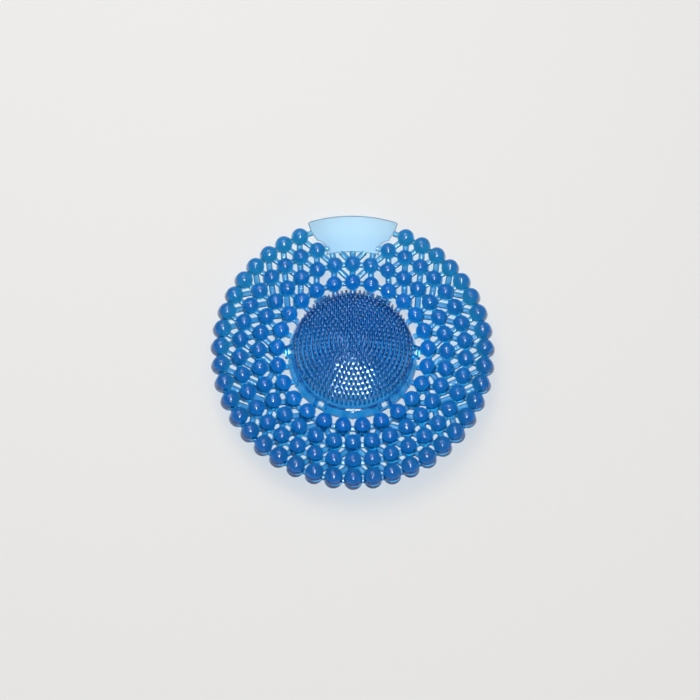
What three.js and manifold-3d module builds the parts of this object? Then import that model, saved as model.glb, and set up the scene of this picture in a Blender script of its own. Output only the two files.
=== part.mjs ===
// Urinal deodorizer screen: one soft, see-through moulding.
// A shallow dished mat of beads joined by short bars runs round a hollow drum with a domed field
// of pins. The drum stands on its flat foot, and a thin bare tab fills a gap in the outer beads.
// The beads and pins are coarse here, and the smallest gaps between the bars are left filled.
// Millimetres, +Z up, the foot on z = 0, the tab towards +Y.

import * as THREE from 'three';
import * as BufferGeometryUtils from 'three/addons/utils/BufferGeometryUtils.js';
import Module from 'manifold-3d';

const wasm = await Module();
wasm.setup();

// Bead mat, seen from above
const firstRingRadius = 49.4;
const ringPitch = 11.8;
const ringCounts = [25, 32, 38, 44];
const innerBeadRadius = 5.0;
const outerBeadRadius = 5.6;
const neckShare = 0.66;
const neckClearance = 0.15;
const beadSides = 6;
const beadShoulder = THREE.MathUtils.degToRad(48);

// Web of bars that joins the beads, measured square to the dished mat
const webDrop = 4.5;
const webThickness = 2.4;
const barWidth = 3.2;
const webFootClearance = 0.3;
const webRootDepth = 1.2;
const smallestGap = 17;
const skirtGapTaper = 0.6;
const dishSlope = THREE.MathUtils.degToRad(18.3);

// Drum: a domed shell on a flared skirt
const footRadius = 42.8;
const creaseRadius = 40.1;
const creaseHeight = 10.4;
const domeRadius = 38.2;
const domeEdgeHeight = 11.2;
const domeHeight = 26.6;
const drumWall = 2.2;
const drumSegments = 24;
const domeSteps = [0, 0.4, 0.75];

// Field of pins on the dome. The moulding has 13 rings of slim pins. These are fewer and stouter.
const pinFieldRadius = 37.2;
const pinRings = 4;
const pinLength = 14.2;
const pinRootRadius = 1.2;
const pinSides = 4;

// Six lugs round the skirt, each with a square window in its sloping roof
const lugCount = 6;
const lugWidth = 9.0;
const lugRoofThickness = 2.0;
const lugSlope = THREE.MathUtils.degToRad(44);
const lugStand = 1.5;
const lugRise = 0.3;
const lugInnerReach = 3.0;
const lugOuterReach = 3.4;
const windowWidth = 4.2;
const windowLength = 4.6;
const archWidth = 7.4;
const archHeight = 7.2;
const archOuterShare = 0.8;

// Small upright ribs on the skirt, midway between the lugs
const ribWidth = 1.8;
const ribStand = 0.9;
const ribHeight = 9.0;

// Bare tab at the back
const tabInnerRadius = 68.9;
const tabOuterRadius = 92.2;
const tabInnerHalfWidth = 17.4;
const tabOuterHalfWidth = 31.4;
const tabCornerRadius = 3.0;
const tabThickness = 1.6;
const tabBeadGap = 1.3;
const tabRows = 8;
const tabColumns = 8;
const tabBraceSpread = 8.0;

// How far a cutter runs past the surface that it cuts
const overcut = 1.0;

const lugMiddleRadius = creaseRadius + lugStand;
const lugMiddleHeight = creaseHeight + lugRise;
const beadRingRadius = (ring) => firstRingRadius + ring * ringPitch;
const outerRing = ringCounts.length - 1;
const beadRadius = (ring) => (ring === outerRing ? outerBeadRadius : innerBeadRadius);
const neckRadius = (ring) => beadRadius(ring) * neckShare;

// The bead centres lie on a shallow cone, set so that the web meets the skirt just above the foot.
const webBottomDrop = webDrop + webThickness / 2;
const webInnerRadius = footRadius - webBottomDrop * Math.sin(dishSlope) - webRootDepth;
const coneHeight = (radius) =>
  webFootClearance + webBottomDrop * Math.cos(dishSlope) + (radius - webInnerRadius) * Math.tan(dishSlope);

// A closed three.js geometry becomes a solid that can be joined and cut.
function solid(geometry) {
  const bare = geometry.index ? geometry.toNonIndexed() : geometry.clone();
  bare.deleteAttribute('normal');
  bare.deleteAttribute('uv');
  const merged = BufferGeometryUtils.mergeVertices(bare, 1e-4);
  return new wasm.Manifold(new wasm.Mesh({
    numProp: 3,
    vertProperties: new Float32Array(merged.attributes.position.array),
    triVerts: new Uint32Array(merged.index.array),
  }));
}

function geometryOf(body) {
  const mesh = body.getMesh();
  const geometry = new THREE.BufferGeometry();
  geometry.setAttribute('position', new THREE.BufferAttribute(new Float32Array(mesh.vertProperties), 3));
  geometry.setIndex(new THREE.BufferAttribute(new Uint32Array(mesh.triVerts), 1));
  return geometry;
}

function joined(solids) {
  return wasm.Manifold.union(solids);
}

function polygon(points) {
  const shape = new THREE.Shape();
  shape.setFromPoints(points.map(([x, y]) => new THREE.Vector2(x, y)));
  return shape;
}

function prism(shape, bottom, top) {
  const geometry = new THREE.ExtrudeGeometry(shape, { depth: top - bottom, bevelEnabled: false });
  geometry.translate(0, 0, bottom);
  return geometry;
}

// A section drawn as [radius, height] points, made this wide and turned to an angle from +Y
function radialPrism(section, width, angle) {
  const geometry = prism(polygon(section), -width / 2, width / 2);
  const upright = new THREE.Matrix4().makeBasis(
    new THREE.Vector3(0, 1, 0), new THREE.Vector3(0, 0, 1), new THREE.Vector3(1, 0, 0));
  geometry.applyMatrix4(upright);
  geometry.rotateZ(-angle);
  return geometry;
}

// Width of the tab to one side of its middle line, at a distance back from the drum's axis
function tabHalfWidth(back) {
  const share = THREE.MathUtils.clamp((back - tabInnerRadius) / (tabOuterRadius - tabInnerRadius), 0, 1);
  return THREE.MathUtils.lerp(tabInnerHalfWidth, tabOuterHalfWidth, share);
}

// Each ring of beads starts on the middle line at the back, and place counts away from that line
// on either side. Beads that the tab displaces are absent.
function beadRings() {
  return ringCounts.map((count, ring) => {
    const radius = beadRingRadius(ring);
    return Array.from({ length: count }, (_, step) => {
      const angle = (step * 2 * Math.PI) / count;
      const x = radius * Math.sin(angle);
      const y = radius * Math.cos(angle);
      const reachesTab = y > 0 && radius + beadRadius(ring) > tabInnerRadius;
      const overTab = Math.abs(x) < tabHalfWidth(y) + beadRadius(ring) - tabBeadGap;
      const place = Math.min(step, count - step);
      return { ring, place, radius, angle, x, y, absent: reachesTab && overTab };
    });
  });
}

const distance = (a, b) => Math.hypot(a.x - b.x, a.y - b.y);

// One bar is missing on each side of the tab: the one that would join the first bead beside the
// middle line in the first ring to the second bead in the second ring.
function barIsMissing(a, b) {
  return a.ring === 0 && b.ring === 1 && a.place === 1 && b.place === 2;
}

// The strip between two rings is cut into triangles along its shorter diagonals.
function cellsBetween(inner, outer) {
  const cells = [];
  let i = 0;
  let j = 0;
  while (i < inner.length || j < outer.length) {
    const a = inner[i % inner.length];
    const b = outer[j % outer.length];
    const nextA = inner[(i + 1) % inner.length];
    const nextB = outer[(j + 1) % outer.length];
    const stepInner = j >= outer.length || (i < inner.length && distance(nextA, b) < distance(a, nextB));
    const next = stepInner ? nextA : nextB;
    if (barIsMissing(a, b)) {
      const last = cells.pop();
      const across = last.find((bead) => bead !== a && bead !== b);
      cells.push([a, across, b, next]);
    } else {
      cells.push([a, b, next]);
    }
    i += stepInner ? 1 : 0;
    j += stepInner ? 0 : 1;
  }
  return cells.filter((cell) => cell.every((bead) => !bead.absent));
}

// A corner of a gap, moved in from its bead so that both bars keep their width
function gapCorner(before, bead, after) {
  const middle = new THREE.Vector2(bead.x, bead.y);
  const toBefore = new THREE.Vector2(before.x, before.y).sub(middle).normalize();
  const toAfter = new THREE.Vector2(after.x, after.y).sub(middle).normalize();
  const halfAngle = Math.acos(toBefore.dot(toAfter)) / 2;
  const inset = Math.max(barWidth / 2 / Math.sin(halfAngle), neckRadius(bead.ring) + neckClearance);
  return middle.addScaledVector(toBefore.add(toAfter).normalize(), inset);
}

// The opening inside the bars that join a cell's beads, or nothing where it would be too small
function gapCutter(cell) {
  const corners = cell.map((bead, index) => (
    gapCorner(cell[(index + cell.length - 1) % cell.length], bead, cell[(index + 1) % cell.length])
  ));
  const whole = cell.map((bead) => new THREE.Vector2(bead.x, bead.y));
  const area = THREE.ShapeUtils.area(corners) * Math.sign(THREE.ShapeUtils.area(whole));
  if (area < smallestGap) {
    return null;
  }
  const shape = new THREE.Shape(corners);
  return solid(prism(shape, -webBottomDrop - overcut, -webDrop + webThickness / 2 + overcut));
}

// The opening between a bead of the first ring, the next one round and the skirt
function skirtGapCutter(bead) {
  const reach = webInnerRadius - webRootDepth;
  const outside = bead.radius - barWidth;
  const middle = bead.angle + Math.PI / ringCounts[0];
  const halfAngle = Math.PI / ringCounts[0] - barWidth / 2 / reach;
  const outerAngle = halfAngle * skirtGapTaper;
  const corners = [[outside, -outerAngle], [outside, outerAngle], [reach, halfAngle], [reach, -halfAngle]];
  const points = corners.map(([radius, turn]) => [
    radius * Math.sin(middle + turn),
    radius * Math.cos(middle + turn),
  ]);
  return solid(prism(polygon(points), -webBottomDrop - overcut, -webDrop + webThickness / 2 + overcut));
}

// Edge of the web: out along the last ring, and in along the beads that border the tab
function webOutline(rings) {
  const rim = rings[outerRing].filter((bead) => !bead.absent);
  const border = [];
  for (let ring = outerRing - 1; ring >= 0; ring -= 1) {
    const present = rings[ring].filter((bead) => !bead.absent);
    if (present.length < rings[ring].length) {
      border.push([present[present.length - 1], present[0]]);
    } else {
      const under = present.filter((bead) => bead.y > 0 && Math.abs(bead.x) < tabInnerHalfWidth);
      under.sort((a, b) => a.x - b.x);
      border.push(under);
      break;
    }
  }
  const left = border.slice(0, -1).map(([end]) => end);
  const right = border.slice(0, -1).map(([, end]) => end).reverse();
  const towardsTab = [...left, ...border[border.length - 1], ...right];
  const half = barWidth / 2;
  const outward = rim.map((bead) => [
    (bead.radius + half) * Math.sin(bead.angle),
    (bead.radius + half) * Math.cos(bead.angle),
  ]);
  return [...outward, ...towardsTab.map((bead) => [bead.x, bead.y + half])];
}

// Beads and web are made as a level mat, with bead centres at z = 0.
function levelBead(bead) {
  const size = beadRadius(bead.ring);
  const neck = neckRadius(bead.ring);
  const webTop = -webDrop + webThickness / 2;
  const profile = [
    new THREE.Vector2(0, -webDrop),
    new THREE.Vector2(neck, -webDrop),
    new THREE.Vector2(neck, webTop),
    new THREE.Vector2(size, 0),
    new THREE.Vector2(size * Math.sin(beadShoulder), size * Math.cos(beadShoulder)),
    new THREE.Vector2(0, size),
  ];
  const geometry = new THREE.LatheGeometry(profile, beadSides);
  geometry.rotateX(Math.PI / 2);
  geometry.scale(1, Math.cos(dishSlope), 1);
  geometry.rotateZ(-bead.angle);
  geometry.translate(bead.x, bead.y, 0);
  return solid(geometry);
}

function levelMat(rings) {
  const outline = polygon(webOutline(rings));
  outline.holes.push(new THREE.Path().absarc(0, 0, webInnerRadius, 0, 2 * Math.PI));
  const plate = new THREE.ExtrudeGeometry(outline, {
    depth: webThickness,
    bevelEnabled: false,
    curveSegments: drumSegments,
  });
  plate.translate(0, 0, -webBottomDrop);
  const cutters = [];
  for (let ring = 0; ring < outerRing; ring += 1) {
    cutters.push(...cellsBetween(rings[ring], rings[ring + 1]).map(gapCutter).filter(Boolean));
  }
  cutters.push(...rings[0].map(skirtGapCutter));
  const beads = rings.flat().filter((bead) => !bead.absent).map(levelBead);
  return solid(plate).subtract(joined(cutters)).add(joined(beads));
}

// The level mat is bent up on to the cone, and each bead leans with it.
function dished(mat) {
  const geometry = geometryOf(mat);
  const position = geometry.attributes.position;
  for (let index = 0; index < position.count; index += 1) {
    const x = position.getX(index);
    const y = position.getY(index);
    const rise = position.getZ(index);
    const radius = Math.hypot(x, y);
    const bent = (radius - rise * Math.sin(dishSlope)) / radius;
    position.setXYZ(index, x * bent, y * bent, coneHeight(radius) + rise * Math.cos(dishSlope));
  }
  return solid(geometry);
}

const domeAt = (radius) => domeHeight - (domeHeight - domeEdgeHeight) * (radius / domeRadius) ** 2;

function drumShell() {
  const innerRadius = domeRadius - drumWall;
  const outside = domeSteps.map((share) => new THREE.Vector2(domeRadius * share, domeAt(domeRadius * share)));
  const inside = domeSteps.map((share) => (
    new THREE.Vector2(innerRadius * share, domeAt(innerRadius * share) - drumWall)
  ));
  const profile = [
    ...inside,
    new THREE.Vector2(innerRadius, domeAt(innerRadius) - drumWall),
    new THREE.Vector2(creaseRadius - drumWall, creaseHeight - drumWall),
    new THREE.Vector2(footRadius - drumWall, 0),
    new THREE.Vector2(footRadius, 0),
    new THREE.Vector2(creaseRadius, creaseHeight),
    new THREE.Vector2(domeRadius, domeEdgeHeight),
    ...outside.reverse(),
  ];
  const geometry = new THREE.LatheGeometry(profile, drumSegments);
  geometry.rotateX(Math.PI / 2);
  return solid(geometry);
}

function pinField() {
  const pins = [];
  for (let ring = 0; ring <= pinRings; ring += 1) {
    const count = Math.max(1, 6 * ring);
    const radius = (pinFieldRadius - pinRootRadius / 2) * (ring / pinRings);
    for (let step = 0; step < count; step += 1) {
      const angle = (step * 2 * Math.PI) / count;
      const root = domeAt(radius) - drumWall / 2;
      const height = pinLength + drumWall / 2;
      const geometry = new THREE.ConeGeometry(pinRootRadius, height, pinSides);
      geometry.rotateX(Math.PI / 2);
      geometry.rotateZ(angle);
      geometry.translate(radius * Math.cos(angle), radius * Math.sin(angle), root + height / 2);
      pins.push(solid(geometry));
    }
  }
  return joined(pins);
}

// Places along a lug's sloping roof, from its middle, as [radius, height]
function onRoof(along, depth) {
  return [
    lugMiddleRadius + along * Math.cos(lugSlope) - depth * Math.sin(lugSlope),
    lugMiddleHeight - along * Math.sin(lugSlope) - depth * Math.cos(lugSlope),
  ];
}

const lugAngles = Array.from({ length: lugCount }, (_, lug) => ((lug + 0.5) * 2 * Math.PI) / lugCount);

function lug(angle) {
  const rootRadius = creaseRadius - drumWall;
  const section = [
    [rootRadius, creaseHeight - drumWall / 2],
    onRoof(lugOuterReach, lugRoofThickness),
    onRoof(lugOuterReach, 0),
    onRoof(-lugInnerReach, 0),
    [rootRadius, creaseHeight],
  ];
  return solid(radialPrism(section, lugWidth, angle));
}

function windowCutter(angle) {
  const half = windowLength / 2;
  const depth = lugRoofThickness + drumWall * 2;
  const section = [onRoof(-half, depth), onRoof(half, depth), onRoof(half, -depth), onRoof(-half, -depth)];
  return solid(radialPrism(section, windowWidth, angle));
}

function archCutter(angle) {
  const inside = creaseRadius - drumWall - overcut;
  const outside = onRoof(lugOuterReach, 0)[0];
  const section = [
    [inside, -overcut],
    [outside, -overcut],
    [outside, archHeight * archOuterShare],
    [inside, archHeight],
  ];
  return solid(radialPrism(section, archWidth, angle));
}

function rib(angle) {
  const outside = (height) => footRadius + (creaseRadius - footRadius) * (height / creaseHeight);
  const low = creaseHeight - ribHeight;
  const section = [
    [outside(low) - drumWall / 2, low],
    [outside(low) + ribStand, low],
    [outside(creaseHeight) + ribStand, creaseHeight - ribStand],
    [outside(creaseHeight) - drumWall / 2, creaseHeight - ribStand / 2],
  ];
  return solid(radialPrism(section, ribWidth, angle));
}

// Angle to one side of the middle line at which the tab ends, at a distance from the drum's axis
function tabHalfAngle(radius, ends) {
  const share = (radius - tabInnerRadius) / (tabOuterRadius - tabInnerRadius);
  const intoCorner = THREE.MathUtils.clamp(radius - (tabOuterRadius - tabCornerRadius), 0, tabCornerRadius);
  const rounding = tabCornerRadius - Math.sqrt(tabCornerRadius ** 2 - intoCorner ** 2);
  const side = THREE.MathUtils.lerp(tabInnerHalfWidth, tabOuterHalfWidth, share) - rounding;
  const notches = ends.map((bead) => {
    const around = beadRadius(bead.ring) + tabBeadGap;
    const cosine = (radius ** 2 + bead.radius ** 2 - around ** 2) / (2 * radius * bead.radius);
    return bead.angle - Math.acos(Math.min(1, cosine));
  });
  return Math.min(Math.asin(side / radius), ...notches);
}

// The tab is a thin plate at the level of the bars, hollowed at its sides round the nearest beads.
function tab(rings) {
  const ends = rings.filter((ring) => ring.some((bead) => bead.absent)).map(endBead);
  const rows = Array.from({ length: tabRows + 1 }, (_, row) => (
    THREE.MathUtils.lerp(tabInnerRadius, tabOuterRadius, row / tabRows)
  ));
  const sheets = [-webDrop + tabThickness / 2, -webDrop - tabThickness / 2];
  const points = [];
  sheets.forEach((height) => rows.forEach((radius) => {
    const halfAngle = tabHalfAngle(radius, ends);
    for (let column = 0; column <= tabColumns; column += 1) {
      const angle = halfAngle * ((2 * column) / tabColumns - 1);
      points.push(radius * Math.sin(angle), radius * Math.cos(angle), height);
    }
  }));
  const at = (sheet, row, column) => (sheet * (tabRows + 1) + row) * (tabColumns + 1) + column;
  const faces = [];
  const last = tabColumns;
  const quad = (a, b, c, d) => faces.push(a, b, c, a, c, d);
  for (let row = 0; row < tabRows; row += 1) {
    for (let column = 0; column < tabColumns; column += 1) {
      const next = column + 1;
      quad(at(0, row, column), at(0, row, next), at(0, row + 1, next), at(0, row + 1, column));
      quad(at(1, row, column), at(1, row + 1, column), at(1, row + 1, next), at(1, row, next));
    }
    quad(at(0, row, 0), at(0, row + 1, 0), at(1, row + 1, 0), at(1, row, 0));
    quad(at(0, row + 1, last), at(0, row, last), at(1, row, last), at(1, row + 1, last));
  }
  for (let column = 0; column < last; column += 1) {
    const next = column + 1;
    quad(at(0, 0, next), at(0, 0, column), at(1, 0, column), at(1, 0, next));
    quad(at(0, tabRows, column), at(0, tabRows, next), at(1, tabRows, next), at(1, tabRows, column));
  }
  const plate = new THREE.BufferGeometry();
  plate.setAttribute('position', new THREE.Float32BufferAttribute(points, 3));
  plate.setIndex(faces);
  return solid(plate).add(joined(tabBars(rings)));
}

// The bead beside the tab on its +X side
function endBead(ring) {
  const beside = ring.filter((bead) => !bead.absent && bead.x > 0 && bead.y > 0);
  return beside.reduce((nearest, bead) => (bead.place < nearest.place ? bead : nearest));
}

// Short bars from the tab to the beads beside it, and two braces to the bead behind its middle
function tabBars(rings) {
  const landing = tabInnerRadius + tabThickness;
  const beside = rings.filter((ring) => ring.some((bead) => bead.absent)).map(endBead);
  const backRing = rings.filter((ring) => ring.every((bead) => !bead.absent)).pop();
  const behind = backRing.filter((bead) => bead.y > 0 && Math.abs(bead.x) < tabInnerHalfWidth);
  const bars = behind.map((bead) => {
    const stretch = landing / bead.radius;
    return [bead, { x: bead.x * stretch, y: bead.y * stretch }];
  });
  const middle = backRing[0];
  bars.push([middle, { x: tabBraceSpread, y: landing }], [middle, { x: -tabBraceSpread, y: landing }]);
  beside.forEach((bead) => {
    const reach = beadRadius(bead.ring) + tabBeadGap + barWidth;
    const turn = bead.angle - reach / bead.radius;
    const towards = { x: bead.radius * Math.sin(turn), y: bead.radius * Math.cos(turn) };
    bars.push([bead, towards], [{ x: -bead.x, y: bead.y }, { x: -towards.x, y: towards.y }]);
  });
  return bars.map(([from, towards]) => {
    const geometry = new THREE.BoxGeometry(barWidth, distance(from, towards), tabThickness);
    geometry.rotateZ(Math.atan2(towards.y - from.y, towards.x - from.x) - Math.PI / 2);
    geometry.translate((from.x + towards.x) / 2, (from.y + towards.y) / 2, -webDrop);
    return solid(geometry);
  });
}

function screen() {
  const rings = beadRings();
  const mat = dished(levelMat(rings));
  const bentTab = dished(tab(rings));
  const ribAngles = lugAngles.map((angle) => angle - Math.PI / lugCount);
  const drum = drumShell()
    .subtract(joined(lugAngles.map(archCutter)))
    .add(joined([...lugAngles.map(lug), ...ribAngles.map(rib)]))
    .subtract(joined(lugAngles.map(windowCutter)))
    .add(pinField());
  return joined([mat, bentTab, drum]);
}

const blueEva = new THREE.MeshStandardMaterial({ color: '#1a74c4', roughness: 0.22, metalness: 0 });
const deodorizerScreen = new THREE.Mesh(geometryOf(screen()), blueEva);
deodorizerScreen.name = 'deodorizer_screen';

const part = new THREE.Group();
part.add(deodorizerScreen);

export default part;
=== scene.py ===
"""Urinal deodorizer screen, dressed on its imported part.

One soft moulding of dyed see-through EVA: a dished mat of beads joined by bars, a hollow drum with a
domed field of pins, six windowed lugs round its skirt, and a thin bare tab at the back.
Lengths are in millimetres and are turned to metres where a mesh is made. +Z is up, the drum's axis
is x = y = 0, the foot stands on z = 0, and the tab is towards +Y.
"""
import math

import bmesh
import bpy
from mathutils import Matrix, Vector


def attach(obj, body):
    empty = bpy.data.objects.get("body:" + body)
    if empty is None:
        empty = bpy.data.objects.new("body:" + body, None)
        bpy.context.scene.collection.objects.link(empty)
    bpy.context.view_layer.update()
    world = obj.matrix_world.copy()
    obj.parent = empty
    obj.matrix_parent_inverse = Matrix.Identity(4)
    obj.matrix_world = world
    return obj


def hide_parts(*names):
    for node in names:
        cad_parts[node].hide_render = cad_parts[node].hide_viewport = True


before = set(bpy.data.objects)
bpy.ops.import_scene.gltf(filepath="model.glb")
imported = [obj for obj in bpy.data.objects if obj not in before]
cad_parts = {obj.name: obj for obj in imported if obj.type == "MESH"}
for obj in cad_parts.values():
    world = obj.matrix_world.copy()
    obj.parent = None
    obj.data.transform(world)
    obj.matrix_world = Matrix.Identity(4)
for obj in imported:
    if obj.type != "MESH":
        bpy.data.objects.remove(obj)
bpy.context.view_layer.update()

MM = 0.001
BODY = "root"
CAD_NODE = "deodorizer_screen"

# Bead mat, seen from above
RING_RADII = [49.4, 61.2, 73.0, 84.8]
RING_COUNTS = [25, 32, 38, 44]
BEAD_RADII = [5.3, 5.3, 5.3, 5.6]
BEADS_BEHIND_TAB = {2: 1, 3: 2}
STEM_LENGTHS = [6.1, 6.1, 6.1, 6.7]
STEM_FOOT_FILLET = 0.8
BEAD_SIDES = 28
BEAD_STEPS = 9
DISH_SLOPE = math.radians(18.3)
FIRST_BEAD_HEIGHT = 8.88

# Bars between the beads, measured square to the dished mat
BAR_DROP = 4.4
BAR_WIDTH = 4.0
BAR_HEIGHT = 2.6
BAR_SIDES = 12
BAR_INSET = 3.9

# Drum
FOOT_RADIUS = 42.8
FOOT_FILLET = 0.6
CREASE_RADIUS = 40.1
CREASE_HEIGHT = 10.4
DOME_RADIUS = 38.2
DOME_EDGE_HEIGHT = 11.2
DOME_HEIGHT = 26.6
DOME_STEPS = 16
DRUM_WALL = 2.2
DRUM_SEGMENTS = 144

# Pins on the dome, ring by ring
PIN_RINGS = 13
PIN_RING_STEP = 2.83
PIN_LENGTH = 13.4
PIN_ROOT_RADIUS = 0.9
PIN_TIP_RADIUS = 0.78
PIN_TIP_BEVEL = 0.12
PIN_SIDES = 8

# Six lugs round the skirt, each a sloping roof with a window over an arch in the skirt
LUG_COUNT = 6
LUG_WIDTH = 9.0
LUG_SLOPE = math.radians(44)
LUG_MIDDLE_RADIUS = 41.6
LUG_MIDDLE_HEIGHT = 10.7
LUG_INNER_REACH = 3.0
LUG_OUTER_REACH = 3.4
LUG_ROOF_THICKNESS = 2.0
WINDOW_WIDTH = 4.2
WINDOW_LENGTH = 4.6
ARCH_WIDTH = 7.4
ARCH_HEIGHT = 7.6
ARCH_OUTER_SHARE = 0.8

# Small upright ribs on the skirt, midway between the lugs
RIB_WIDTH = 1.4
RIB_STAND = 0.9
RIB_HEIGHT = 9.0

# Tab
TAB_INNER_RADIUS = 68.9
TAB_OUTER_RADIUS = 92.2
TAB_INNER_HALF_WIDTH = 17.4
TAB_OUTER_HALF_WIDTH = 31.4
TAB_CORNER_RADIUS = 3.0
TAB_THICKNESS = 1.6
TAB_EDGE_BEVEL = 0.6
TAB_BAR_OVERLAP = 0.5
TAB_BEAD_GAP = 1.3
TAB_ROWS = 40
TAB_COLUMNS = 40
TAB_BRACE_SPREAD = 8.0

# Camera, as in the photograph. It looks at the target from the front and above.
CAMERA_TARGET = (-1.92, -1.19, 17.28)
CAMERA_DISTANCE = 641.2
CAMERA_ELEVATION = 1.252
CAMERA_YAW = 0.018
CAMERA_LENS = 51.07

# Optics of the moulding. The dye's density is per metre.
EVA_REFRACTION = 1.48
DYE_DENSITY = 360.0
POLISHED_ROUGHNESS = 0.04
POLISHED_HAZE = 0.08
SATIN_ROUGHNESS = 0.3
SATIN_HAZE = 0.03
SHARP_EDGE = math.radians(40)

# How far a cutter runs past what it cuts
OVERCUT = 1.0

# Studio: how far the card runs, and how much of it the camera sees by its own light
FLOOR_HALF_SIZE = 1500
FLOOR_OWN_LIGHT = 0.55
ROOM_LIGHT = 0.32


def linear(hex_colour):
    """An sRGB hex colour as linear RGBA."""
    channels = [int(hex_colour[i:i + 2], 16) / 255 for i in (1, 3, 5)]
    return [c / 12.92 if c <= 0.04045 else ((c + 0.055) / 1.055) ** 2.4 for c in channels] + [1.0]


def add_node(tree, kind, inputs=None, **settings):
    """Adds a node, sets its properties, and gives each input a value or a link from a socket."""
    node = tree.nodes.new(kind)
    for name, value in settings.items():
        setattr(node, name, value)
    for key, value in (inputs or {}).items():
        if isinstance(value, bpy.types.NodeSocket):
            tree.links.new(value, node.inputs[key])
        else:
            node.inputs[key].default_value = value
    return node


def new_material(name):
    material = bpy.data.materials.new(name)
    material.use_nodes = True
    material.node_tree.nodes.clear()
    return material


def dyed_eva(name, tint, roughness, haze_share):
    """Injection-moulded EVA with a cyan-blue dye: nearly clear where it is thin, deep blue where it
    is thick, with a faint haze. Its gloss is that of the mould wall."""
    material = new_material(name)
    tree = material.node_tree
    clear = add_node(tree, "ShaderNodeBsdfPrincipled", {
        "Base Color": linear(tint),
        "Roughness": roughness,
        "IOR": EVA_REFRACTION,
        "Transmission Weight": 1.0,
    })
    haze = add_node(tree, "ShaderNodeBsdfDiffuse", {"Color": linear("#1A7AD4")})
    body = add_node(tree, "ShaderNodeMixShader", {
        0: haze_share,
        1: clear.outputs["BSDF"],
        2: haze.outputs["BSDF"],
    })
    light_path = add_node(tree, "ShaderNodeLightPath")
    passing = add_node(tree, "ShaderNodeBsdfTransparent", {"Color": linear("#B4E2F6")})
    mixed = add_node(tree, "ShaderNodeMixShader", {
        0: light_path.outputs["Is Shadow Ray"],
        1: body.outputs["Shader"],
        2: passing.outputs["BSDF"],
    })
    dye = add_node(tree, "ShaderNodeVolumeAbsorption", {
        "Color": linear("#54E3F2"),
        "Density": DYE_DENSITY,
    })
    add_node(tree, "ShaderNodeOutputMaterial", {
        "Surface": mixed.outputs["Shader"],
        "Volume": dye.outputs["Volume"],
    })
    return material


def mesh_object(name, points, faces, material=None):
    """A mesh from points in millimetres."""
    mesh = bpy.data.meshes.new(name)
    mesh.from_pydata([tuple(MM * c for c in point) for point in points], [], faces)
    mesh.update()
    shape = bpy.data.objects.new(name, mesh)
    bpy.context.scene.collection.objects.link(shape)
    if material:
        mesh.materials.append(material)
    return shape


def turned(name, profile, segments, material=None):
    """A solid turned about z from (radius, height) points, listed anticlockwise, with x = radius.
    A profile that starts and ends on the axis is closed there. Another one closes on itself."""
    on_axis = profile[0][0] == 0
    points = []
    rows = []
    for radius, height in profile:
        if radius == 0:
            rows.append([len(points)] * segments)
            points.append((0, 0, height))
            continue
        rows.append([len(points) + step for step in range(segments)])
        for step in range(segments):
            turn = 2 * math.pi * step / segments
            points.append((radius * math.cos(turn), radius * math.sin(turn), height))
    pairs = list(zip(rows, rows[1:])) + ([] if on_axis else [(rows[-1], rows[0])])
    faces = []
    for low, high in pairs:
        for step in range(segments):
            after = (step + 1) % segments
            corners = [low[step], low[after], high[after], high[step]]
            faces.append(list(dict.fromkeys(corners)))
    return mesh_object(name, points, faces, material)


def radial_prism(name, section, width, angle):
    """A section of (radius, height) points made this wide and turned to an angle from +Y."""
    count = len(section)
    points = []
    for side in (-width / 2, width / 2):
        for radius, height in section:
            x = side * math.cos(angle) + radius * math.sin(angle)
            y = -side * math.sin(angle) + radius * math.cos(angle)
            points.append((x, y, height))
    faces = [list(range(count)), list(range(2 * count - 1, count - 1, -1))]
    for step in range(count):
        after = (step + 1) % count
        faces.append([step, count + step, count + after, after])
    prism = mesh_object(name, points, faces)
    return face_out(prism)


def face_out(shape):
    """Turns every face of a closed shape outwards."""
    work = bmesh.new()
    work.from_mesh(shape.data)
    bmesh.ops.recalc_face_normals(work, faces=work.faces)
    work.to_mesh(shape.data)
    work.free()
    return shape


def merged(name, shapes):
    """One object from shapes that don't touch each other."""
    points = []
    faces = []
    for shape in shapes:
        start = len(points)
        points.extend(tuple(vertex.co / MM) for vertex in shape.data.vertices)
        faces.extend([start + corner for corner in face.vertices] for face in shape.data.polygons)
        bpy.data.objects.remove(shape)
    return mesh_object(name, points, faces)


def combine(base, tool, operation):
    """Joins the tool to the base or cuts it away, and removes the tool."""
    modifier = base.modifiers.new(operation.lower(), "BOOLEAN")
    modifier.object = tool
    modifier.operation = operation
    modifier.solver = "MANIFOLD"
    modifier.material_mode = "TRANSFER"
    plain_mesh(base)
    bpy.data.objects.remove(tool)
    return base


def plain_mesh(shape):
    """Replaces the mesh of a shape by what its modifiers make of it."""
    graph = bpy.context.evaluated_depsgraph_get()
    result = bpy.data.meshes.new_from_object(shape.evaluated_get(graph))
    shape.modifiers.clear()
    shape.data = result
    return shape


def run_tree(shape, tree, values):
    """Runs a node tree on a shape, with the tree's named inputs set, and keeps the result."""
    modifier = shape.modifiers.new(tree.name, "NODES")
    modifier.node_group = tree
    for item in tree.interface.items_tree:
        if item.in_out == "INPUT" and item.name in values:
            modifier[item.identifier] = values[item.name]
    return plain_mesh(shape)


def new_tree(name, inputs):
    """A geometry node tree with these named inputs. Returns it with its input and output nodes."""
    tree = bpy.data.node_groups.new(name, "GeometryNodeTree")
    tree.interface.new_socket("Geometry", in_out="INPUT", socket_type="NodeSocketGeometry")
    tree.interface.new_socket("Geometry", in_out="OUTPUT", socket_type="NodeSocketGeometry")
    for label, kind in inputs.items():
        tree.interface.new_socket(label, in_out="INPUT", socket_type=kind)
    return tree, tree.nodes.new("NodeGroupInput"), tree.nodes.new("NodeGroupOutput")


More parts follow.
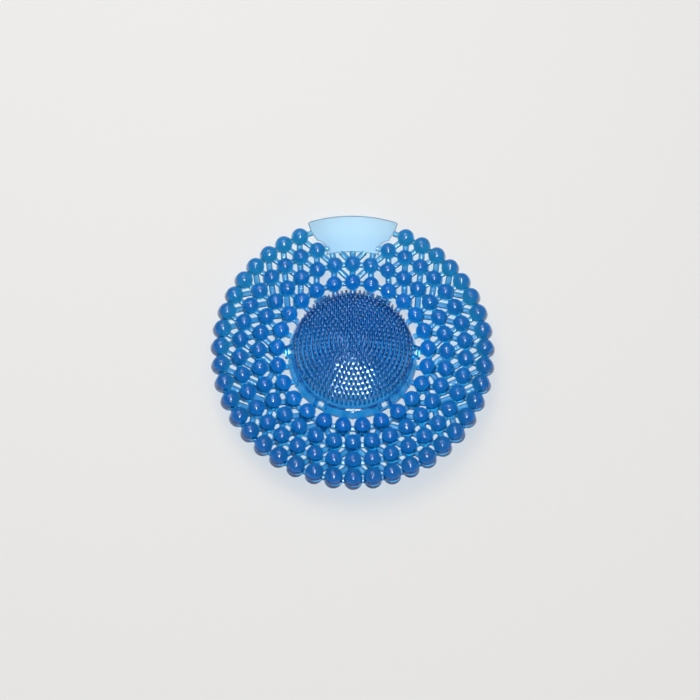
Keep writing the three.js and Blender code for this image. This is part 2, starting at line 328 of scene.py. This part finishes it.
def finish_tree(tree, geometry, material_socket, group_output):
    real = add_node(tree, "GeometryNodeRealizeInstances", {"Geometry": geometry})
    dressed = add_node(tree, "GeometryNodeSetMaterial", {
        "Geometry": real.outputs["Geometry"],
        "Material": material_socket,
    })
    tree.links.new(dressed.outputs["Geometry"], group_output.inputs["Geometry"])


def repeat_tree():
    """Puts a copy of one shape on every point, turned by the point's own turn."""
    tree, given, result = new_tree("repeat_on_points", {
        "Shape": "NodeSocketObject",
        "Material": "NodeSocketMaterial",
    })
    shape = add_node(tree, "GeometryNodeObjectInfo", {"Object": given.outputs["Shape"]})
    turn = add_node(tree, "GeometryNodeInputNamedAttribute", {"Name": "turn"}, data_type="FLOAT_VECTOR")
    rotation = add_node(tree, "FunctionNodeEulerToRotation", {"Euler": turn.outputs["Attribute"]})
    copies = add_node(tree, "GeometryNodeInstanceOnPoints", {
        "Points": given.outputs["Geometry"],
        "Instance": shape.outputs["Geometry"],
        "Rotation": rotation.outputs["Rotation"],
    })
    finish_tree(tree, copies.outputs["Instances"], given.outputs["Material"], result)
    return tree


def bar_tree():
    """Gives every edge of a network the body of a bar: an oval tube, closed at both ends."""
    tree, given, result = new_tree("bars_on_edges", {
        "Bar Width": "NodeSocketFloat",
        "Bar Height": "NodeSocketFloat",
        "Sides": "NodeSocketInt",
        "Material": "NodeSocketMaterial",
    })
    lines = add_node(tree, "GeometryNodeMeshToCurve", {"Mesh": given.outputs["Geometry"]})
    upright = add_node(tree, "GeometryNodeSetCurveNormal", {"Curve": lines.outputs["Curve"]}, mode="Z_UP")
    circle = add_node(tree, "GeometryNodeCurvePrimitiveCircle", {
        "Resolution": given.outputs["Sides"],
        "Radius": 0.5,
    })
    size = add_node(tree, "ShaderNodeCombineXYZ", {
        "X": given.outputs["Bar Width"],
        "Y": given.outputs["Bar Height"],
        "Z": 1.0,
    })
    oval = add_node(tree, "GeometryNodeTransform", {
        "Geometry": circle.outputs["Curve"],
        "Scale": size.outputs["Vector"],
    })
    bars = add_node(tree, "GeometryNodeCurveToMesh", {
        "Curve": upright.outputs["Curve"],
        "Profile Curve": oval.outputs["Geometry"],
        "Fill Caps": True,
    })
    finish_tree(tree, bars.outputs["Mesh"], given.outputs["Material"], result)
    return tree


def beads_in(ring):
    """The beads of a ring as dicts. Step 0 is on the middle line at the back."""
    count = RING_COUNTS[ring]
    hidden = BEADS_BEHIND_TAB.get(ring, -1)
    beads = []
    for step in range(count):
        place = min(step, count - step)
        angle = 2 * math.pi * step / count
        radius = RING_RADII[ring]
        beads.append({
            "ring": ring,
            "place": place,
            "angle": angle,
            "flat": Vector((radius * math.sin(angle), radius * math.cos(angle))),
            "absent": place <= hidden,
        })
    return beads


def cone_height(radius):
    """Height of a bead centre over the floor, at a distance from the drum's axis."""
    return FIRST_BEAD_HEIGHT + (radius - RING_RADII[0]) * math.tan(DISH_SLOPE)


def cone_point(radius, angle, rise=0.0):
    """A point a distance above the cone of bead centres, square to it."""
    reach = radius - rise * math.sin(DISH_SLOPE)
    height = cone_height(radius) + rise * math.cos(DISH_SLOPE)
    return Vector((reach * math.sin(angle), reach * math.cos(angle), height))


def cone_lean(angle):
    """The turn that makes an upright shape stand square to the cone."""
    return (DISH_SLOPE, 0.0, -angle)


def bar_is_missing(inner, outer):
    """One bar is missing on each side of the tab, where the mat has a wide gap."""
    return inner["ring"] == 0 and inner["place"] == 1 and outer["place"] == 2


def cross_links(inner, outer):
    """Bars between two rings: each pair of neighbours is joined along the shorter way across."""
    links = []
    i = 0
    j = 0
    while i < len(inner) or j < len(outer):
        a = inner[i % len(inner)]
        b = outer[j % len(outer)]
        links.append((a, b))
        next_a = inner[(i + 1) % len(inner)]
        next_b = outer[(j + 1) % len(outer)]
        inner_is_nearer = (next_a["flat"] - b["flat"]).length < (a["flat"] - next_b["flat"]).length
        if j >= len(outer) or (i < len(inner) and inner_is_nearer):
            i += 1
        else:
            j += 1
    links = [link for link in links if not bar_is_missing(*link)]
    return [(a, b) for a, b in links if not (a["absent"] or b["absent"])]


def bar_ends(a, b):
    """The two ends of a bar, inside the stems of its beads."""
    start = cone_point(RING_RADII[a["ring"]], a["angle"], -BAR_DROP)
    end = cone_point(RING_RADII[b["ring"]], b["angle"], -BAR_DROP)
    along = (end - start).normalized()
    return start + along * BAR_INSET, end - along * BAR_INSET


def bars(name, ends, tree, material):
    """Bars from a list of end pairs. No two bars of one call may touch."""
    points = [point for pair in ends for point in pair]
    mesh = bpy.data.meshes.new(name)
    edges = [(2 * step, 2 * step + 1) for step in range(len(ends))]
    mesh.from_pydata([tuple(point * MM) for point in points], edges, [])
    network = bpy.data.objects.new(name, mesh)
    bpy.context.scene.collection.objects.link(network)
    run_tree(network, tree, {
        "Bar Width": BAR_WIDTH * MM,
        "Bar Height": BAR_HEIGHT * MM,
        "Sides": BAR_SIDES,
        "Material": material,
    })
    return face_out(network)


def copies(name, places, turns, shape, tree, material):
    """A copy of a shape at each place, with its own turn."""
    mesh = bpy.data.meshes.new(name)
    mesh.from_pydata([tuple(MM * c for c in place) for place in places], [], [])
    turn = mesh.attributes.new("turn", "FLOAT_VECTOR", "POINT")
    turn.data.foreach_set("vector", [angle for one in turns for angle in one])
    points = bpy.data.objects.new(name, mesh)
    bpy.context.scene.collection.objects.link(points)
    run_tree(points, tree, {"Shape": shape, "Material": material})
    bpy.data.objects.remove(shape)
    return points


def bead_shape(radius, stem):
    """A bead and its stem: a ball that runs down into a straight round foot."""
    low = -stem
    fillet = STEM_FOOT_FILLET
    profile = [(0, low), (radius - fillet, low)]
    inset = fillet * (1 - math.cos(math.pi / 4))
    profile.append((radius - inset, low + inset))
    profile.append((radius, low + fillet))
    for step in range(BEAD_STEPS):
        rise = math.pi / 2 * step / BEAD_STEPS
        profile.append((radius * math.cos(rise), radius * math.sin(rise)))
    profile.append((0, radius))
    return turned("bead", profile, BEAD_SIDES)


def bead_ring(ring, tree, material):
    beads = [bead for bead in beads_in(ring) if not bead["absent"]]
    places = [cone_point(RING_RADII[ring], bead["angle"]) for bead in beads]
    turns = [cone_lean(bead["angle"]) for bead in beads]
    shape = bead_shape(BEAD_RADII[ring], STEM_LENGTHS[ring])
    return copies(f"bead ring {ring + 1}", places, turns, shape, tree, material)


def dome_height(radius):
    return DOME_HEIGHT - (DOME_HEIGHT - DOME_EDGE_HEIGHT) * (radius / DOME_RADIUS) ** 2


def drum_shell(material):
    """The hollow drum: a low dome, a short shoulder and a flared skirt, all of one wall."""
    inner_dome = DOME_RADIUS - DRUM_WALL
    steps = [step / DOME_STEPS for step in range(DOME_STEPS)]
    outside = [(DOME_RADIUS * share, dome_height(DOME_RADIUS * share)) for share in steps]
    inside = [(inner_dome * share, dome_height(inner_dome * share) - DRUM_WALL) for share in steps]
    profile = inside + [
        (inner_dome, dome_height(inner_dome) - DRUM_WALL),
        (CREASE_RADIUS - DRUM_WALL, CREASE_HEIGHT - DRUM_WALL),
        (FOOT_RADIUS - DRUM_WALL, FOOT_FILLET),
        (FOOT_RADIUS - DRUM_WALL + FOOT_FILLET, 0),
        (FOOT_RADIUS - FOOT_FILLET, 0),
        (FOOT_RADIUS, FOOT_FILLET),
        (CREASE_RADIUS, CREASE_HEIGHT),
        (DOME_RADIUS, DOME_EDGE_HEIGHT),
    ] + outside[::-1]
    return face_out(turned("drum", profile, DRUM_SEGMENTS, material))


def on_roof(along, depth):
    """A place on a lug's sloping roof, from its middle, as (radius, height)."""
    radius = LUG_MIDDLE_RADIUS + along * math.cos(LUG_SLOPE) - depth * math.sin(LUG_SLOPE)
    height = LUG_MIDDLE_HEIGHT - along * math.sin(LUG_SLOPE) - depth * math.cos(LUG_SLOPE)
    return radius, height


def lug_angles():
    return [(lug + 0.5) * 2 * math.pi / LUG_COUNT for lug in range(LUG_COUNT)]


def lug(angle):
    """A sloping roof that stands out from the crease."""
    root = CREASE_RADIUS - DRUM_WALL
    section = [
        (root, CREASE_HEIGHT - DRUM_WALL / 2),
        on_roof(LUG_OUTER_REACH, LUG_ROOF_THICKNESS),
        on_roof(LUG_OUTER_REACH, 0),
        on_roof(-LUG_INNER_REACH, 0),
        (root, CREASE_HEIGHT),
    ]
    return radial_prism("lug", section, LUG_WIDTH, angle)


def window(angle):
    half = WINDOW_LENGTH / 2
    deep = LUG_ROOF_THICKNESS + 2 * DRUM_WALL
    section = [on_roof(-half, deep), on_roof(half, deep), on_roof(half, -deep), on_roof(-half, -deep)]
    return radial_prism("window", section, WINDOW_WIDTH, angle)


def arch(angle):
    inside = CREASE_RADIUS - DRUM_WALL - OVERCUT
    outside = on_roof(LUG_OUTER_REACH, 0)[0]
    section = [
        (inside, -OVERCUT),
        (outside, -OVERCUT),
        (outside, ARCH_HEIGHT * ARCH_OUTER_SHARE),
        (inside, ARCH_HEIGHT),
    ]
    return radial_prism("arch", section, ARCH_WIDTH, angle)


def rib(angle):
    """A small upright rib on the skirt, from near the foot to the crease."""
    def skirt(height):
        return FOOT_RADIUS + (CREASE_RADIUS - FOOT_RADIUS) * height / CREASE_HEIGHT

    low = CREASE_HEIGHT - RIB_HEIGHT
    section = [
        (skirt(low) - DRUM_WALL / 2, low),
        (skirt(low) + RIB_STAND, low),
        (CREASE_RADIUS + RIB_STAND, CREASE_HEIGHT - RIB_STAND),
        (CREASE_RADIUS - DRUM_WALL / 2, CREASE_HEIGHT - RIB_STAND / 2),
    ]
    return radial_prism("rib", section, RIB_WIDTH, angle)


def pin_shape():
    """One tapered pin with a flat bevelled tip. Its root is sunk into the dome's wall."""
    root = -DRUM_WALL / 2
    tip = PIN_LENGTH
    profile = [
        (0, root),
        (PIN_ROOT_RADIUS, root),
        (PIN_TIP_RADIUS, tip - PIN_TIP_BEVEL),
        (PIN_TIP_RADIUS - PIN_TIP_BEVEL, tip),
        (0, tip),
    ]
    return turned("pin", profile, PIN_SIDES)


def pin_field(tree, material):
    """Upright pins in rings about one in the middle, each as long as the next."""
    places = []
    for ring in range(PIN_RINGS + 1):
        for step in range(max(1, 6 * ring)):
            angle = step * 2 * math.pi / max(1, 6 * ring)
            radius = ring * PIN_RING_STEP
            foot = dome_height(radius)
            places.append((radius * math.cos(angle), radius * math.sin(angle), foot))
    turns = [(0.0, 0.0, 0.0)] * len(places)
    return copies("pins", places, turns, pin_shape(), tree, material)


def end_bead(ring):
    """The bead beside the tab on its +X side."""
    return beads_in(ring)[BEADS_BEHIND_TAB[ring] + 1]


def tab_half_angle(radius):
    """Angle to one side of the middle line at which the tab ends."""
    share = (radius - TAB_INNER_RADIUS) / (TAB_OUTER_RADIUS - TAB_INNER_RADIUS)
    into_corner = max(0.0, radius - (TAB_OUTER_RADIUS - TAB_CORNER_RADIUS))
    rounding = TAB_CORNER_RADIUS - math.sqrt(TAB_CORNER_RADIUS ** 2 - into_corner ** 2)
    half_width = TAB_INNER_HALF_WIDTH + (TAB_OUTER_HALF_WIDTH - TAB_INNER_HALF_WIDTH) * share - rounding
    angle = math.asin(half_width / radius)
    for ring in BEADS_BEHIND_TAB:
        bead = end_bead(ring)
        around = BEAD_RADII[ring] + TAB_BEAD_GAP
        middle = RING_RADII[ring]
        cosine = (radius ** 2 + middle ** 2 - around ** 2) / (2 * radius * middle)
        angle = min(angle, bead["angle"] - math.acos(min(1.0, cosine)))
    return angle


def tab(material):
    """The thin bare tab at the level of the bars, with a bevelled edge. Its sides are hollowed round
    the nearest beads."""
    points = []
    faces = []
    half_thick = TAB_THICKNESS / 2
    for rise, inset in ((half_thick, TAB_EDGE_BEVEL), (0.0, 0.0), (-half_thick, TAB_EDGE_BEVEL)):
        depth = TAB_OUTER_RADIUS - TAB_INNER_RADIUS - 2 * inset
        for row in range(TAB_ROWS + 1):
            radius = TAB_INNER_RADIUS + inset + depth * row / TAB_ROWS
            half = tab_half_angle(radius) - inset / radius
            for column in range(TAB_COLUMNS + 1):
                angle = half * (2 * column / TAB_COLUMNS - 1)
                points.append(cone_point(radius, angle, rise - BAR_DROP))

    def at(sheet, row, column):
        return (sheet * (TAB_ROWS + 1) + row) * (TAB_COLUMNS + 1) + column

    for sheet in (0, 2):
        for row in range(TAB_ROWS):
            for column in range(TAB_COLUMNS):
                near = [at(sheet, row, column), at(sheet, row, column + 1)]
                far = [at(sheet, row + 1, column + 1), at(sheet, row + 1, column)]
                faces.append(near + far)
    edge = [(0, column) for column in range(TAB_COLUMNS)]
    edge += [(row, TAB_COLUMNS) for row in range(TAB_ROWS)]
    edge += [(TAB_ROWS, column) for column in range(TAB_COLUMNS, 0, -1)]
    edge += [(row, 0) for row in range(TAB_ROWS, 0, -1)]
    for here, there in zip(edge, edge[1:] + edge[:1]):
        for sheet in (0, 1):
            upper = [at(sheet, *here), at(sheet, *there)]
            lower = [at(sheet + 1, *there), at(sheet + 1, *here)]
            faces.append(upper + lower)
    return face_out(mesh_object("tab", points, faces, material))


def tab_bar_ends():
    """Bars from the tab to three beads in front of it and to the two beads at each side."""
    landing = TAB_INNER_RADIUS + TAB_BAR_OVERLAP
    ends = []
    for step in (-1, 0, 1):
        angle = step * 2 * math.pi / RING_COUNTS[1]
        start = cone_point(RING_RADII[1] + BAR_INSET, angle, -BAR_DROP)
        ends.append((start, cone_point(landing, angle, -BAR_DROP)))
    for side in (-1, 1):
        for ring in BEADS_BEHIND_TAB:
            angle = side * end_bead(ring)["angle"]
            reach = BEAD_RADII[ring] + TAB_BEAD_GAP + BAR_WIDTH / 2
            turn = side * reach / RING_RADII[ring]
            near = side * BAR_INSET / RING_RADII[ring]
            ends.append((cone_point(RING_RADII[ring], angle - near, -BAR_DROP),
                         cone_point(RING_RADII[ring], angle - turn, -BAR_DROP)))
    return ends


def tab_brace_ends():
    """Two bars that spread from the bead on the middle line to the tab."""
    ends = []
    landing = TAB_INNER_RADIUS + TAB_BAR_OVERLAP
    for side in (-1, 1):
        turn = side * math.asin(TAB_BRACE_SPREAD / landing)
        start = cone_point(RING_RADII[1], 0.0, -BAR_DROP)
        end = cone_point(landing, turn, -BAR_DROP)
        ends.append((start + (end - start).normalized() * BAR_INSET, end))
    return ends


def skirt_bar_ends():
    """Bars from each bead of the first ring in to the drum's skirt."""
    ends = []
    for bead in beads_in(0):
        outer = cone_point(RING_RADII[0] - BAR_INSET, bead["angle"], -BAR_DROP)
        inner = cone_point(FOOT_RADIUS - DRUM_WALL / 2, bead["angle"], -BAR_DROP)
        ends.append((inner, outer))
    return ends


def moulding(material, satin):
    """The whole screen as one closed body."""
    repeat = repeat_tree()
    bar_body = bar_tree()
    body = drum_shell(material)
    combine(body, merged("arches", [arch(angle) for angle in lug_angles()]), "DIFFERENCE")
    combine(body, merged("lugs", [lug(angle) for angle in lug_angles()]), "UNION")
    ribs = [rib(angle - math.pi / LUG_COUNT) for angle in lug_angles()]
    combine(body, merged("ribs", ribs), "UNION")
    combine(body, merged("windows", [window(angle) for angle in lug_angles()]), "DIFFERENCE")
    combine(body, bars("skirt bars", skirt_bar_ends(), bar_body, material), "UNION")
    for ring in range(len(RING_COUNTS)):
        combine(body, bead_ring(ring, repeat, material), "UNION")
    combine(body, tab(satin), "UNION")
    combine(body, bars("tab bars", tab_bar_ends(), bar_body, material), "UNION")
    combine(body, bars("tab braces", tab_brace_ends(), bar_body, material), "UNION")
    for ring in range(len(RING_COUNTS)):
        beads = beads_in(ring)
        pairs = zip(beads, beads[1:] + beads[:1])
        ends = [bar_ends(a, b) for a, b in pairs if not (a["absent"] or b["absent"])]
        along = bars("ring bars", ends, bar_body, material)
        combine(body, along, "UNION")
    for ring in range(len(RING_COUNTS) - 1):
        links = cross_links(beads_in(ring), beads_in(ring + 1))
        for part in (0, 1):
            chosen = [bar_ends(a, b) for a, b in links[part::2]]
            combine(body, bars("cross bars", chosen, bar_body, material), "UNION")
    combine(body, pin_field(repeat, material), "UNION")
    body.name = "EVA_moulding"
    body.data.name = "EVA_moulding"
    body.data.shade_smooth()
    body.data.set_sharp_from_angle(angle=SHARP_EDGE)
    return body


def floor_material():
    """Plain pale card. Where the camera sees it directly, part of it is its own light."""
    material = new_material("pale_studio_card")
    tree = material.node_tree
    card = add_node(tree, "ShaderNodeBsdfDiffuse", {"Color": linear("#E8E7E6")})
    glow = add_node(tree, "ShaderNodeEmission", {"Color": linear("#F4F3F2"), "Strength": 1.0})
    seen = add_node(tree, "ShaderNodeLightPath")
    share = add_node(tree, "ShaderNodeMath", {
        0: seen.outputs["Is Camera Ray"],
        1: FLOOR_OWN_LIGHT,
    }, operation="MULTIPLY")
    mixed = add_node(tree, "ShaderNodeMixShader", {
        0: share.outputs["Value"],
        1: card.outputs["BSDF"],
        2: glow.outputs["Emission"],
    })
    add_node(tree, "ShaderNodeOutputMaterial", {"Surface": mixed.outputs["Shader"]})
    return material


def studio_floor():
    half = FLOOR_HALF_SIZE
    corners = [(-half, -half, 0), (half, -half, 0), (half, half, 0), (-half, half, 0)]
    floor = mesh_object("studio_floor", corners, [[0, 1, 2, 3]], floor_material())


def area_light(name, place, size, power):
    """A soft rectangular lamp that faces the middle of the screen. Place and size in millimetres."""
    lamp = bpy.data.lights.new(name, "AREA")
    lamp.shape = "RECTANGLE"
    lamp.size = size[0] * MM
    lamp.size_y = size[1] * MM
    lamp.energy = power
    light = bpy.data.objects.new(name, lamp)
    light.location = Vector(place) * MM
    light.rotation_euler = (-light.location).to_track_quat("-Z", "Y").to_euler()
    bpy.context.scene.collection.objects.link(light)
    return light


def studio_light():
    area_light("back_softbox", (-200, 500, 1000), (700, 700), 6.0)
    area_light("overhead_softbox", (0, 0, 1300), (1600, 1600), 6.0)
    streak = area_light("highlight_window", (20, -380, 930), (240, 700), 10.0)
    glint = area_light("pin_tip_glint", (22, 280, 1060), (66, 46), 0.6)
    for lamp in (streak, glint):
        lamp.visible_diffuse = False
        lamp.visible_transmission = False
    world = bpy.data.worlds.new("soft room light")
    world.use_nodes = True
    background = world.node_tree.nodes["Background"]
    background.inputs["Color"].default_value = linear("#EFEEED")
    background.inputs["Strength"].default_value = ROOM_LIGHT
    bpy.context.scene.world = world


def camera():
    data = bpy.data.cameras.new("camera")
    data.sensor_width = 36.0
    data.lens = CAMERA_LENS
    data.clip_end = 20.0
    view = bpy.data.objects.new("camera", data)
    tip = Matrix.Rotation(math.pi / 2 - CAMERA_ELEVATION, 3, "X")
    turn = Matrix.Rotation(-CAMERA_YAW, 3, "Y") @ tip
    view.location = (Vector(CAMERA_TARGET) + turn.col[2] * CAMERA_DISTANCE) * MM
    view.rotation_euler = turn.to_euler()
    bpy.context.scene.collection.objects.link(view)
    bpy.context.scene.camera = view


bpy.context.scene.view_settings.view_transform = "Standard"
polished = dyed_eva("polished_dyed_EVA", "#B8E0F0", POLISHED_ROUGHNESS, POLISHED_HAZE)
satin = dyed_eva("satin_dyed_EVA_of_the_tab", "#BCC2CE", SATIN_ROUGHNESS, SATIN_HAZE)
screen = moulding(polished, satin)
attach(screen, BODY)
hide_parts(CAD_NODE)
studio_floor()
studio_light()
camera()
